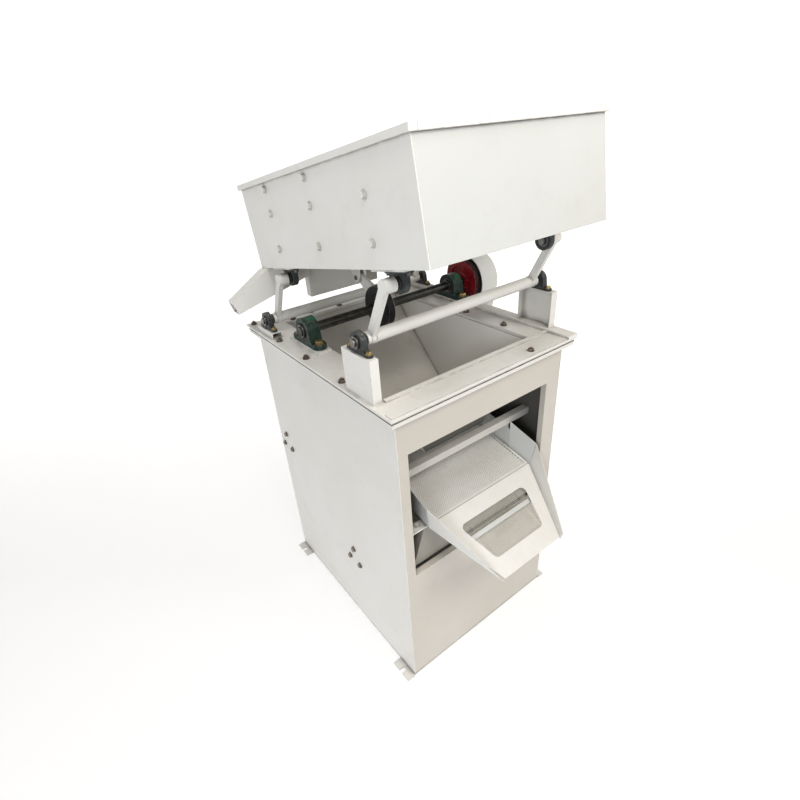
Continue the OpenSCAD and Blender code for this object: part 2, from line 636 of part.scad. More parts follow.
module box_brackets() color(paint) in_box() {
  at_heads() box3(-30, 22, -64, 64, small_h, pin_drop - seam);
  rod_bracket();
}
module rod_bracket() {
  along = (rod_pin_y - box_y) * cos(box_slope) + (box_z - rod_pin_z) * sin(box_slope);
  up = (rod_pin_y - box_y) * sin(box_slope) - (box_z - rod_pin_z) * cos(box_slope);
  difference() {
    union() {
      for (x = [rod_x - 12, rod_x + rod_t + 2]) {
        profile_x(x, x + 10) polygon([[along - 34, -4], [along + 34, -4], [along + 16, up], [along - 16, up]]);
        along_x(x, x + 10, along, up, 16);
      }
      box3(rod_x - 20, rod_x + rod_t + 20, along - 36, along + 36, -6, -seam);
    }
    along_x(0, 60, along, up, rod_pin_r);
  }
}
module box_housings() color(iron) in_box() at_heads() mirror([0, 0, 1]) small_housing();
module box_inserts() color(steel) {
  in_box() at_heads() insert(small_w - 4, 17, rock_pin_d / 2 + fit);
  in_box() at_heads() mirror([0, 0, 1]) for (s = [-1, 1])
    translate([0, s * small_bolt_at, -small_h + 7]) bolt(4, 7);
  along_x(rod_x - 14, rod_x + rod_t + 14, rod_pin_y, rod_pin_z, rod_pin_r, 32);
}

// ---- connecting rod ----
module in_rod() translate([0, drive_y, drive_z]) rotate([rod_dir, 0, 0]) children();
module rod_plate() color(paint) in_rod() difference() {
  union() {
    along_x(rod_x, rod_x + rod_t, 0, 0, 56);
    profile_x(rod_x, rod_x + rod_t) polygon([[0, -40], [rod_len, -15], [rod_len, 15], [0, 40]]);
    along_x(rod_x, rod_x + rod_t, rod_len, 0, 15);
  }
  along_x(0, 60, 0, 0, drive_d / 2 + throw * sqrt(2) + 2);
  along_x(0, 60, rod_len, 0, rod_pin_r + fit);
}
module rod_head() color(black) in_rod() difference() {
  along_x(head_x0, head_x1, 0, 0, head_r, 96);
  along_x(head_x0 + head_cover, head_x1 - head_cover, 0, 0, ecc_r + head_gap, 96);
  along_x(-30, 40, 0, 0, drive_d / 2 + throw * sqrt(2) + 2);
}

base_frame();
foot_lugs();
left_panel();
right_panel();
front_panel();
back_panel();
corner_uprights();
cabinet_flange();
top_frame();
frame_bolts();
hopper_back();
hopper_sides();
hopper_front();
cross_bars();
fines_slide();
wall_bolts();
tray_floor();
tray_walls();
tray_chute();
tray_mesh();
tray_mesh_bar();
tray_lugs();
tray_apron();
left_post();
right_post();
bearing_pads();
rocker_housings();
drive_housings();
bearing_inserts();
bearing_bolts();
belt_guard();
motor_body();
motor_bed();
drive_belt();
drive_shaft();
drive_pulley();
eccentric();
motor_shaft();
motor_pulley();
front_tube();
front_arms();
front_pins();
rear_tube();
rear_arms();
rear_pins();
box_sides();
box_front();
box_back();
box_pan();
box_rim();
sieve_screen();
screen_ledges();
box_bolts();
side_spout();
drop_throat();
box_brackets();
box_housings();
box_inserts();
rod_plate();
rod_head();
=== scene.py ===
"""Looks of the vibrating grain sieve, built around the CAD frame (metres, +Z up, the front faces -Y)."""
import json
import math

import bmesh
import bpy
from mathutils import Matrix, Vector


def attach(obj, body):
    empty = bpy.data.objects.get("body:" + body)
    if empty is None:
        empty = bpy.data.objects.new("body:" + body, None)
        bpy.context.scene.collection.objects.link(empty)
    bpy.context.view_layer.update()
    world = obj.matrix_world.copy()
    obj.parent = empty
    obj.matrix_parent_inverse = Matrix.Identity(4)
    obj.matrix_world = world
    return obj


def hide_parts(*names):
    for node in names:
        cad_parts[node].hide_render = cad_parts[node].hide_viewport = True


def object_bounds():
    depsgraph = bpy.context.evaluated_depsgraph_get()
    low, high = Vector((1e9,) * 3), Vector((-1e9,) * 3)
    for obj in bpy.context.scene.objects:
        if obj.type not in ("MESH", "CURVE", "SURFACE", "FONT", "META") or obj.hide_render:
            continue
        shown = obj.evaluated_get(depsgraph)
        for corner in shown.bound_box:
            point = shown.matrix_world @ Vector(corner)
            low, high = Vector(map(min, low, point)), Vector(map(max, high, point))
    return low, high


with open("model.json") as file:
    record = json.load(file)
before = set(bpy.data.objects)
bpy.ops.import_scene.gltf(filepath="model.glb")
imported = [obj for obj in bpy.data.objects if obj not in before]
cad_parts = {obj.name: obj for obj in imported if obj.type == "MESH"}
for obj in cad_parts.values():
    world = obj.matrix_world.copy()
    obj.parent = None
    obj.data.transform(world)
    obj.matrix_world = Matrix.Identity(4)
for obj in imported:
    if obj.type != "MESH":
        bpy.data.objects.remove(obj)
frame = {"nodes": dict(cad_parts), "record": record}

NODES = frame["nodes"]
RECORD = frame["record"]
CAD_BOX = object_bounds()
MM = 0.001
SLOT_OF = {part["node"]: part["material_slot"] for part in RECORD["subparts"]}
BODY_OF = {n: body for body, names in RECORD["behaviour"]["bodies"].items() for n in names}


# ---------------------------------------------------------------- node graphs
class Graph:
    """A material's node tree, with one short call per node. A socket given as an input is linked."""

    def __init__(self, name):
        self.material = bpy.data.materials.new(name)
        self.material.use_nodes = True
        self.tree = self.material.node_tree
        self.shader = self.tree.nodes["Principled BSDF"]
        self.place = self.add("ShaderNodeTexCoord").outputs["Object"]

    def add(self, kind, inputs=(), **settings):
        made = self.tree.nodes.new(kind)
        for key, value in settings.items():
            setattr(made, key, value)
        for key, value in dict(inputs).items():
            if isinstance(value, bpy.types.NodeSocket):
                self.tree.links.new(value, made.inputs[key])
            else:
                made.inputs[key].default_value = value
        return made

    def noise(self, scale, detail=3.0, roughness=0.55, stretch=None):
        place = self.place
        if stretch:
            place = self.add("ShaderNodeMapping", {"Vector": place, "Scale": stretch}).outputs["Vector"]
        return self.add("ShaderNodeTexNoise", {"Vector": place, "Scale": scale, "Detail": detail,
                                               "Roughness": roughness}).outputs["Fac"]

    def cells(self, scale):
        return self.add("ShaderNodeTexVoronoi", {"Vector": self.place, "Scale": scale}).outputs["Distance"]

    def open_sky(self, reach):
        """How open the surface is: 1 on a free face, falling to 0 in corners narrower than the reach."""
        return self.add("ShaderNodeAmbientOcclusion", {"Distance": reach}, samples=8).outputs["AO"]

    def remap(self, value, low, high, to_low=0.0, to_high=1.0):
        return self.add("ShaderNodeMapRange", {"Value": value, "From Min": low, "From Max": high,
                                               "To Min": to_low, "To Max": to_high}).outputs["Result"]

    def math(self, operation, a, b):
        return self.add("ShaderNodeMath", {0: a, 1: b}, operation=operation).outputs["Value"]

    def blend(self, share, a, b):
        made = self.add("ShaderNodeMix", {"Factor": share}, data_type="RGBA")
        for socket, value in ((made.inputs[6], a), (made.inputs[7], b)):
            if isinstance(value, bpy.types.NodeSocket):
                self.tree.links.new(value, socket)
            else:
                socket.default_value = (*value, 1.0)
        return made.outputs[2]

    def edge(self):
        """1 on the rounded edges that soft_copy makes, and 0 elsewhere."""
        return self.add("ShaderNodeAttribute", attribute_name="edge").outputs["Fac"]

    def facing_up(self, low, high):
        normal = self.add("ShaderNodeNewGeometry").outputs["Normal"]
        up = self.add("ShaderNodeSeparateXYZ", {"Vector": normal}).outputs["Z"]
        return self.remap(up, low, high)

    def bump(self, height, strength, distance, below=None):
        made = self.add("ShaderNodeBump", {"Height": height, "Strength": strength, "Distance": distance})
        if below is not None:
            self.tree.links.new(below, made.inputs["Normal"])
        return made.outputs["Normal"]

    def finish(self, colour, roughness, normal=None, **constants):
        self.tree.links.new(colour, self.shader.inputs["Base Color"])
        self.tree.links.new(roughness, self.shader.inputs["Roughness"])
        if normal is not None:
            self.tree.links.new(normal, self.shader.inputs["Normal"])
        for key, value in constants.items():
            self.shader.inputs[key.replace("_", " ")].default_value = value
        return self.material


def sheet_paint(name, colour, worn, dusty, dirt=0.10, gloss=0.34):
    """Sprayed enamel on sheet steel: soft clouding, settled dust, rubbed edges and a fine orange peel, with
    painted shade, patchy like dirt, in corners and seams.
    """
    g = Graph(name)
    clouds = g.remap(g.noise(2.3, 3), 0.35, 0.68)
    shaded = tuple(c * f for c, f in zip(colour, (0.955, 0.945, 0.925)))
    base = g.blend(clouds, colour, shaded)
    blotches = g.remap(g.noise(11, 7, 0.68), 0.55, 0.78, 0.0, dirt)
    base = g.blend(blotches, base, worn)
    runs = g.remap(g.noise(3.2, 5, 0.7, (9.0, 9.0, 0.55)), 0.60, 0.82, 0.0, dirt * 0.8)
    base = g.blend(runs, base, dusty)
    settled = g.math("MULTIPLY", g.facing_up(0.75, 1.0), g.remap(g.noise(26, 6, 0.7), 0.40, 0.72, 0.0, 0.22))
    base = g.blend(settled, base, dusty)
    specks = g.math("MULTIPLY", g.remap(g.cells(75), 0.05, 0.11, 1.0, 0.0),
                    g.remap(g.noise(17, 2), 0.60, 0.66))
    base = g.blend(g.math("MULTIPLY", specks, 0.35), base, worn)
    rubbed = g.math("MULTIPLY", g.edge(), g.remap(g.noise(46, 5, 0.75), 0.44, 0.66, 0.0, 0.62))
    base = g.blend(rubbed, base, worn)
    # Painted shade: the paint darkens where corners and seams close in, in patches like dirt.
    dirt_and_crevice_shade = g.math("MULTIPLY", g.remap(g.open_sky(0.028), 0.40, 0.82, 0.72, 0.0),
                   g.remap(g.noise(34, 4), 0.32, 0.60, 0.45, 1.0))
    base = g.blend(dirt_and_crevice_shade, base, tuple(c * 0.42 for c in worn))
    roughness = g.remap(g.noise(7, 4), 0.3, 0.7, gloss, gloss + 0.13)
    roughness = g.math("ADD", roughness, g.math("MULTIPLY", blotches, 1.2))
    normal = g.bump(g.noise(5.5, 2), 0.22, 0.0016)
    normal = g.bump(g.noise(420, 2), 0.10, 0.0003, normal)
    return g.finish(base, roughness, normal)


def cast_paint(name, colour, patch, oily, gloss, grain=260, bright=None):
    """Paint over a sand casting: a pitted skin, grease in the hollows and bright rubbed edges; a bright
    colour, when given, is laid on the top faces as a painted highlight.
    """
    g = Graph(name)
    base = g.blend(g.remap(g.noise(38, 5, 0.65), 0.38, 0.66), colour, patch)
    base = g.blend(g.remap(g.noise(85, 5, 0.7), 0.52, 0.70, 0.0, 0.75), base, oily)
    # Painted highlight: the top faces take the bright colour in patches.
    if bright:
        top_highlight = g.math("MULTIPLY", g.facing_up(0.55, 0.9), g.remap(g.noise(21, 2), 0.50, 0.60))
        base = g.blend(top_highlight, base, bright)
    dust = g.math("MULTIPLY", g.facing_up(0.3, 1.0), g.remap(g.noise(120, 4), 0.42, 0.70, 0.0, 0.30))
    base = g.blend(dust, base, (0.42, 0.39, 0.34))
    rubbed = g.math("MULTIPLY", g.edge(), g.remap(g.noise(150, 4), 0.47, 0.63, 0.0, 0.6))
    base = g.blend(rubbed, base, (0.34, 0.34, 0.33))
    roughness = g.remap(g.noise(60, 4), 0.35, 0.65, gloss, gloss + 0.22)
    normal = g.bump(g.noise(grain, 4, 0.6), 0.45, 0.0007)
    normal = g.bump(g.cells(grain * 2.2), 0.22, 0.0003, normal)
    return g.finish(base, roughness, normal)


def bare_metal(name, colour, stain, gloss, stain_share=0.5, grain=(1.0, 1.0, 1.0), fine=900, metal=1.0):
    """Machined or plated steel: directional tool marks, finger stains, a film of oil and painted shade in
    corners and crevices.
    """
    g = Graph(name)
    base = g.blend(g.remap(g.noise(32, 5, 0.7), 0.45, 0.70, 0.0, stain_share), colour, stain)
    # Painted shade: a near-black film of the stain colour darkens the metal in corners and crevices.
    base = g.blend(g.remap(g.open_sky(0.010), 0.45, 0.85, 0.85, 0.0), base, tuple(c * 0.25 for c in stain))
    marks = g.noise(fine, 2, 0.5, grain)
    base = g.blend(g.remap(marks, 0.3, 0.7, 0.0, 0.35), base, tuple(c * 0.72 for c in colour))
    rubbed = g.math("MULTIPLY", g.edge(), 0.5)
    base = g.blend(rubbed, base, tuple(min(1.0, c * 1.35) for c in colour))
    roughness = g.math("ADD", g.remap(g.noise(45, 5, 0.7), 0.3, 0.7, gloss, gloss + 0.2),
                       g.remap(marks, 0.3, 0.7, -0.04, 0.06))
    return g.finish(base, roughness, g.bump(marks, 0.16, 0.0002), Metallic=metal)


def rubber(name):
    """Black rubber with a fabric face, greyed where it rubs."""
    g = Graph(name)
    base = g.blend(g.remap(g.noise(24, 5, 0.7), 0.4, 0.7), (0.018, 0.018, 0.019), (0.055, 0.052, 0.048))
    worn = g.math("MULTIPLY", g.edge(), g.remap(g.noise(120, 4), 0.4, 0.6, 0.2, 0.8))
    base = g.blend(worn, base, (0.10, 0.095, 0.088))
    weave = g.noise(1500, 2, 0.5, (1.0, 0.35, 0.35))
    return g.finish(base, g.remap(g.noise(60, 3), 0.3, 0.7, 0.62, 0.82), g.bump(weave, 0.35, 0.0004))


def make_materials():
    """Every material by name: one for each material slot, and darker copies of the paint that some parts take
    as painted shade.
    """
    cream = (0.800, 0.786, 0.752)
    worn = (0.36, 0.33, 0.29)
    return {
        "cream_paint": sheet_paint("cream_paint", cream, worn, (0.60, 0.55, 0.46)),
        # The inner sheets' paint is the cream made darker: painted shade, with more dirt.
        "inner_paint": sheet_paint("inner_paint", (0.690, 0.672, 0.635), (0.30, 0.27, 0.23),
                                   (0.50, 0.45, 0.37), dirt=0.24, gloss=0.42),
        # A near-black copy of the paint for faces that look into the closed cabinet: painted shade.
        "inside": sheet_paint("inside", (0.150, 0.144, 0.131), (0.08, 0.07, 0.06),
                              (0.21, 0.19, 0.16), dirt=0.35, gloss=0.55),
        "green_paint": cast_paint("green_paint", (0.017, 0.040, 0.032), (0.030, 0.062, 0.050),
                                  (0.010, 0.015, 0.014), 0.26, bright=(0.012, 0.170, 0.080)),
        "dark_iron": cast_paint("dark_iron", (0.042, 0.047, 0.047), (0.066, 0.078, 0.076),
                                (0.014, 0.015, 0.015), 0.36),
        "black_paint": cast_paint("black_paint", (0.016, 0.016, 0.018), (0.030, 0.030, 0.032),
                                  (0.008, 0.008, 0.008), 0.30, 500),
        "bearing_steel": bare_metal("bearing_steel", (0.36, 0.35, 0.34), (0.060, 0.050, 0.042), 0.30, 0.9,
                                    grain=(0.08, 1.0, 1.0)),
        "shaft_steel": bare_metal("shaft_steel", (0.135, 0.135, 0.125), (0.040, 0.036, 0.030), 0.22, 0.7,
                                  (1.0, 0.05, 0.05), 500),
        "yellow_zinc": bare_metal("yellow_zinc", (0.62, 0.50, 0.24), (0.52, 0.33, 0.30), 0.30, 0.55),
        "dark_bolt": bare_metal("dark_bolt", (0.36, 0.32, 0.27), (0.060, 0.036, 0.024), 0.30, 0.9),
        "mesh_steel": bare_metal("mesh_steel", (0.66, 0.645, 0.58), (0.46, 0.43, 0.35), 0.46, 0.5,
                                 metal=0.20),
        "red_paint": cast_paint("red_paint", (0.235, 0.006, 0.012), (0.300, 0.012, 0.018),
                                (0.170, 0.005, 0.009), 0.20, 180),
        # A darker, warmer copy of the cream for the front panel: painted shade.
        "front_shade_paint": sheet_paint("front_shade_paint", (0.635, 0.598, 0.545), worn, (0.55, 0.49, 0.40)),
        # A dark copy of the paint for the apron under the tray: painted shade.
        "apron_shade_paint": sheet_paint("apron_shade_paint", (0.400, 0.380, 0.340), (0.16, 0.13, 0.10),
                                   (0.34, 0.30, 0.24), dirt=0.32, gloss=0.40),
        # A darker, cooler copy of the cream for the tray walls, belt guard, box front and mesh bar: painted
        # shade.
        "cool_shade_paint": sheet_paint("cool_shade_paint", (0.655, 0.660, 0.645), worn, (0.55, 0.51, 0.43)),
        "belt_rubber": rubber("belt_rubber"),
    }


MATERIALS = make_materials()


# ---------------------------------------------------------------- pieces
def new_piece(name, mesh, body, slot, replaced=()):
    """A visible piece that rides on a body, and stands for the CAD nodes that it replaces."""
    piece = bpy.data.objects.new(name, mesh)
    bpy.context.scene.collection.objects.link(piece)
    if not mesh.materials:
        mesh.materials.append(MATERIALS[slot])
    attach(piece, body)
    if replaced:
        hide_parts(*replaced)
    return piece


def mesh_from(bm, name, smooth_below=32):
    """The finished mesh, smooth across edges that turn by less than the angle, in degrees."""
    mesh = bpy.data.meshes.new(name)
    bm.to_mesh(mesh)
    bm.free()
    mesh.polygons.foreach_set("use_smooth", [True] * len(mesh.polygons))
    mesh.set_sharp_from_angle(angle=math.radians(smooth_below))
    return mesh


SAME_POINT = 2e-6
NEARLY_FLAT = math.radians(0.6)
SHARP = math.radians(28)
FACES_IN = 0.45       # how closely a face looks into the cabinet before it takes the near-black paint of painted shade


def soft_copy(node, width, inside=None):
    """The node's own shape with its edges rounded, as on pressed, cast or sprayed parts."""
    bm = bmesh.new()
    bm.from_mesh(NODES[node].data)
    rounded = bm.faces.layers.float.new("edge")
    bmesh.ops.remove_doubles(bm, verts=bm.verts, dist=SAME_POINT)
    bmesh.ops.dissolve_limit(bm, angle_limit=NEARLY_FLAT, verts=bm.verts, edges=bm.edges)
    sharp = [e for e in bm.edges if len(e.link_faces) == 2 and e.calc_face_angle(0) > SHARP]
    made = bmesh.ops.bevel(bm, geom=sharp, offset=width, offset_type="OFFSET", segments=2, profile=0.6,
                           affect="EDGES", clamp_overlap=True, material=-1)
    for face in made["faces"]:
        face[rounded] = 1.0
    mesh = mesh_from(bm, node + "_soft")
    if "custom_normal" in mesh.attributes:
        mesh.attributes.remove(mesh.attributes["custom_normal"])
    mesh.materials.clear()
    mesh.materials.append(MATERIALS[PAINT_OF.get(node, SLOT_OF[node])])
    # Faces that look into the cabinet take the near-black paint of painted shade.
    if inside:
        mesh.materials.append(MATERIALS["inside"])
        for face in mesh.polygons:
            face.material_index = int(any(face.normal.dot(Vector(d)) > FACES_IN for d in inside))
    piece = new_piece(node + "_soft", mesh, BODY_OF[node], SLOT_OF[node], [node])
    even = piece.modifiers.new("even", "WEIGHTED_NORMAL")
    even.keep_sharp = True


def lathe(bm, profile, matrix, segments):
    """Turns (radius, height) pairs round local Z; the ends close on the axis where the radius is 0."""
    rings = []
    for radius, height in profile:
        if radius <= 0:
            rings.append([bm.verts.new(matrix @ Vector((0, 0, height)))])
        else:
            rings.append([bm.verts.new(matrix @ Vector((radius * math.cos(a), radius * math.sin(a), height)))
                          for a in (2 * math.pi * k / segments for k in range(segments))])
    for low, high in zip(rings, rings[1:]):
        for k in range(segments):
            n = (k + 1) % segments
            if len(low) == 1:
                bm.faces.new((low[0], high[k], high[n]))
            elif len(high) == 1:
                bm.faces.new((low[k], low[n], high[0]))
            else:
                bm.faces.new((low[k], low[n], high[n], high[k]))


def along(points, step):
    """Points spaced evenly along a polyline."""
    out = []
    for a, b in zip(points, points[1:]):
        count = max(1, round((b - a).length / step))
        out += [a.lerp(b, k / count) for k in range(count)]
    return out + [points[-1]]


def weld(bm, points, size, step=0.0026):
    """A weld bead: overlapping flat drops along a line."""
    for k, p in enumerate(along([Vector(q) for q in points], step)):
        swell = 1 + 0.14 * math.sin(2.3 * k) + 0.08 * math.sin(5.1 * k + 1)
        bmesh.ops.create_icosphere(bm, subdivisions=1, radius=size * swell,
                                   matrix=Matrix.Translation(p) @ Matrix.Scale(0.8, 4, (0, 0, 1)))


def ring(x, y, z, radius, count=28):
    """Points once round a circle that faces along X."""
    return [(x, y + radius * math.sin(t), z + radius * math.cos(t))
            for t in (2 * math.pi * k / count for k in range(count + 1))]


# ---------------------------------------------------------------- perforated and woven sheets
def hexagon_corner(number):
    """A corner of the unit hexagon that has two sides along Y."""
    angle = math.radians(30 + 60 * number)
    return Vector((math.cos(angle), math.sin(angle)))


def perforated(name, node, low, high, turn, origin, pitch, hole, sides, hem):
    """Sheet punched in a staggered pattern with a plain hem, in local x and y, then turned about X."""
    hem_lap, hem_proud = 0.6 * MM, 0.1 * MM
    verts, faces, index = [], [], {}

    def vert(x, y, z):
        key = (round(x * 1e6), round(y * 1e6), round(z * 1e6))
        if key not in index:
            index[key] = len(verts)
            verts.append((x, y, z))
        return index[key]

    corner = pitch / math.sqrt(3)
    row_step = pitch * math.sqrt(3) / 2
    x0, x1, y0, y1 = low[0] + hem, high[0] - hem, low[1] + hem, high[1] - hem
    rows = int((y1 - y0 - 2 * corner) / row_step)
    columns = int((x1 - x0 - pitch) / pitch)
    first_x = (x0 + x1 - (columns - 0.5) * pitch) / 2
    first_y = (y0 + y1 - rows * row_step) / 2
    per_side = sides // 6
    for r in range(rows + 1):
        for c in range(columns):
            cx = first_x + (c + (r % 2) / 2) * pitch
            cy = first_y + r * row_step
            outer, inner = [], []
            for k in range(sides):
                angle = math.radians(30 + 360 * k / sides)
                side, part = divmod(k, per_side)
                edge = hexagon_corner(side).lerp(hexagon_corner(side + 1), part / per_side) * corner
                outer.append((cx + edge.x, cy + edge.y))
                inner.append((cx + hole * math.cos(angle), cy + hole * math.sin(angle)))
            for k in range(sides):
                n = (k + 1) % sides
                around = (inner[k], outer[k], outer[n], inner[n])
                top = [vert(*p, high[2]) for p in around]
                under = [vert(*p, low[2]) for p in around]
                faces.append(top)
                faces.append(under[::-1])
                faces.append((top[3], under[3], under[0], top[0]))
    mesh = bpy.data.meshes.new(name)
    mesh.from_pydata(verts, [], faces)
    bm = bmesh.new()
    bm.from_mesh(mesh)
    bpy.data.meshes.remove(mesh)
    lap = corner + hem_lap
    for left, right, near_end, far_end in ((low[0], x0 + lap, low[1], high[1]),
                                           (x1 - lap, high[0], low[1], high[1]),
                                           (x0 + lap, x1 - lap, low[1], y0 + lap),
                                           (x0 + lap, x1 - lap, y1 - lap, high[1])):
        middle = ((left + right) / 2, (near_end + far_end) / 2, (low[2] + high[2]) / 2)
        size = (right - left, far_end - near_end, high[2] - low[2] + hem_proud, 1)
        bmesh.ops.create_cube(bm, size=1, matrix=Matrix.Translation(middle) @ Matrix.Diagonal(size))
    bm.transform(Matrix.Translation(origin) @ Matrix.Rotation(turn, 4, "X"))
    return new_piece(name, mesh_from(bm, name), BODY_OF[node], SLOT_OF[node], [node])


def wire(bm, points, radius):
    """A four-sided wire through the points, closed at both ends."""
    rings = []
    for k, p in enumerate(points):
        ahead = (points[min(k + 1, len(points) - 1)] - points[max(k - 1, 0)]).normalized()
        side = ahead.cross(Vector((0, 0, 1))).normalized()
        up = side.cross(ahead)
        rings.append([bm.verts.new(p + radius * (side * math.cos(t) + up * math.sin(t)))
                      for t in (math.pi / 4 + math.pi / 2 * q for q in range(4))])
    for low, high in zip(rings, rings[1:]):
        for q in range(4):
            n = (q + 1) % 4
            bm.faces.new((low[q], low[n], high[n], high[q]))
    bm.faces.new(rings[0][::-1])
    bm.faces.new(rings[-1])


def woven(name, node, outline, height, turn, origin, pitch, radius):
    """Plain-weave wire cloth inside a convex outline, flat in local x and y, then turned about X."""
    def chord(axis, at):
        cuts = []
        for p, q in zip(outline, outline[1:] + outline[:1]):
            if (p[axis] - at) * (q[axis] - at) < 0:
                share = (at - p[axis]) / (q[axis] - p[axis])
                cuts.append(p[1 - axis] + share * (q[1 - axis] - p[1 - axis]))
        return (min(cuts), max(cuts)) if len(cuts) == 2 else None

    bm = bmesh.new()
    for axis in (0, 1):
        low, high = min(p[axis] for p in outline), max(p[axis] for p in outline)
        for k in range(int(low / pitch), int(high / pitch) + 1):
            at = (k + 0.5) * pitch
            ends = chord(axis, at)
            if not ends or ends[1] - ends[0] < 3 * pitch:
                continue
            points = []
            for m in range(math.ceil(ends[0] / pitch), math.floor(ends[1] / pitch) + 1):
                over = 1 if (k + m + axis) % 2 else -1
                place = (at, (m + 0.5) * pitch) if axis == 0 else ((m + 0.5) * pitch, at)
                points.append(Vector((*place, height + over * radius * 0.75)))
            if len(points) > 2:
                wire(bm, points, radius)
    bm.transform(Matrix.Translation(origin) @ Matrix.Rotation(turn, 4, "X"))
    return new_piece(name, mesh_from(bm, name, 50), BODY_OF[node], SLOT_OF[node], [node])


def make_sheets():
    """The three sheets that are plain in the CAD: tray floor, sieve screen and the chute's wire cloth."""
    fold = Vector((0, -385, 622)) * MM             # the tray's floor turns down into the chute here
    box_corner = Vector((0, -503.49, 1396.25)) * MM
    tray_slope, box_slope, chute_slope = math.radians(12.6), math.radians(-10), math.radians(28)
    perforated("tray_floor_punched", "tray_floor", (-0.2150, 0.0020, -0.002), (0.2150, 0.3325, 0.0),
               tray_slope, fold, pitch=7.0 * MM, hole=1.6 * MM, sides=6, hem=5 * MM)
    perforated("sieve_screen_punched", "sieve_screen", (-0.2710, 0.0040, 0.134), (0.2710, 0.7600, 0.136),
               box_slope, box_corner, pitch=14.0 * MM, hole=5.0 * MM, sides=12, hem=12 * MM)
    window = [(-0.149, -0.031), (0.149, -0.031), (0.1035, -0.195), (-0.1035, -0.195)]
    woven("tray_mesh_woven", "tray_mesh", window, -0.0152,
          chute_slope, fold, pitch=4.6 * MM, radius=0.72 * MM)


# ---------------------------------------------------------------- welds, lips and small fittings
def near(node, x, y, reach, z=None):
    """The node's corner points close to an upright line, or to a line along X when z is given."""
    out = []
    for v in NODES[node].data.vertices:
        gap = math.hypot(v.co.x - x, v.co.y - y) if z is None else math.hypot(v.co.y - y, v.co.z - z)
        if gap < reach and (z is None or abs(v.co.x - x) < reach):
            out.append(v.co)
    return out


def slab(bm, low, high):
    """A flat bar between two corners, in millimetres."""
    low, high = Vector(low) * MM, Vector(high) * MM
    bmesh.ops.create_cube(bm, size=1, matrix=Matrix.Translation((low + high) / 2)
                          @ Matrix.Diagonal((*(high - low), 1)))


def small_piece(name, bm, body, slot, smooth=32):
    """A piece that the CAD doesn't have, added beside its nodes."""
    bmesh.ops.remove_doubles(bm, verts=bm.verts, dist=1e-6)
    bmesh.ops.recalc_face_normals(bm, faces=bm.faces)
    return new_piece(name, mesh_from(bm, name, smooth), body, slot)


# Places on the frame, in millimetres.
RIM_TOP = 1050.0
RAIL_IN, END_IN = 235.0, 335.0                    # inner edges of the top frame's rails and end bars
FRONT_AXLE = (-279.0, 1196.0)                     # y and z of each line of bearings
REAR_AXLE = (280.37, 1097.37)
DRIVE_AXLE = (102.0, 1101.0)
FEET = [(x, *axle) for axle in (FRONT_AXLE, REAR_AXLE) for x in (-317.0, 325.0)]
DRIVE = [(x, *DRIVE_AXLE) for x in (-264.0, 320.0)]
ROUGH = 80                                        # weld beads stay smooth across edges up to this angle


def post_welds(bm):
    """A bead round the foot of each front post."""
    front, back = -341, -217
    for left, right, height in ((-333, -307, RIM_TOP), (315, 341, RIM_TOP + 8)):
        corners = [(left, front), (right, front), (right, back), (left, back), (left, front)]
        weld(bm, [Vector((x, y, height)) * MM for x, y in corners], 1.9 * MM)


def drive_pad_welds(bm):
    """Beads round the pads under the drive's bearings: one across each end and three along each side."""
    half_width, ends, starts, run = 23, (10, 194), (22, 82, 142), 40
    height = RIM_TOP + 0.5
    for x, _, _ in DRIVE:
        lines = [((x - 21, y), (x + 21, y)) for y in ends]
        lines += [((x + side, y), (x + side, y + run)) for side in (-half_width, half_width) for y in starts]
        for line in lines:
            weld(bm, [Vector((*point, height)) * MM for point in line], 2.2 * MM)


def make_welds():
    bm = bmesh.new()
    post_welds(bm)
    drive_pad_welds(bm)
    small_piece("frame_welds", bm, "cabinet", "cream_paint", ROUGH)
    tube_radius, arm_reach = 16.2 * MM, 0.03
    for end, (y, z) in (("front", FRONT_AXLE), ("rear", REAR_AXLE)):
        bm = bmesh.new()
        arms = [v.co.x for v in NODES[end + "_arms"].data.vertices
                if math.hypot(v.co.y - y * MM, v.co.z - z * MM) < arm_reach]
        for side in (-1, 1):
            span = [x for x in arms if x * side > 0]
            for x in (min(span), max(span)):
                weld(bm, ring(x, y * MM, z * MM, tube_radius), 1.9 * MM)
        small_piece(end + "_rocker_welds", bm, end + "_rocker", "cream_paint", ROUGH)


def make_lips():
    """Bent lips between hopper and top frame, a strip on the frame's front edge, and a dark strip below the
    flange that stands for its shadow line: painted shadow.
    """
    sheet, low, high = 1.3, RIM_TOP - 19, RIM_TOP - 0.6
    bm = bmesh.new()
    slab(bm, (2 - RAIL_IN, END_IN - 0.4 - sheet, low), (RAIL_IN - 2, END_IN - 0.4, high))
    slab(bm, (RAIL_IN - 0.4 - sheet, 2 - END_IN, low), (RAIL_IN - 0.4, END_IN - 2, high))
    small_piece("hopper_lips", bm, "cabinet", "cream_paint")
    bm = bmesh.new()
    slab(bm, (-336, -417.5, RIM_TOP - 2), (302, -391.5, RIM_TOP + 1.7))
    small_piece("front_strips", bm, "cabinet", "cream_paint")
    bm = bmesh.new()
    # A thin dark strip under the flange's edge all round: a painted shadow line.
    line_x, line_y, half, low, high = 336, 416, 1.8, 1033.2, 1036.0
    for side in (-1, 1):
        slab(bm, (side * line_x - half, -line_y - half, low), (side * line_x + half, line_y + half, high))
        slab(bm, (1 - line_x, side * line_y - half, low), (line_x - 1, side * line_y + half, high))
    small_piece("flange_shadow_line", bm, "cabinet", "dark_bolt")


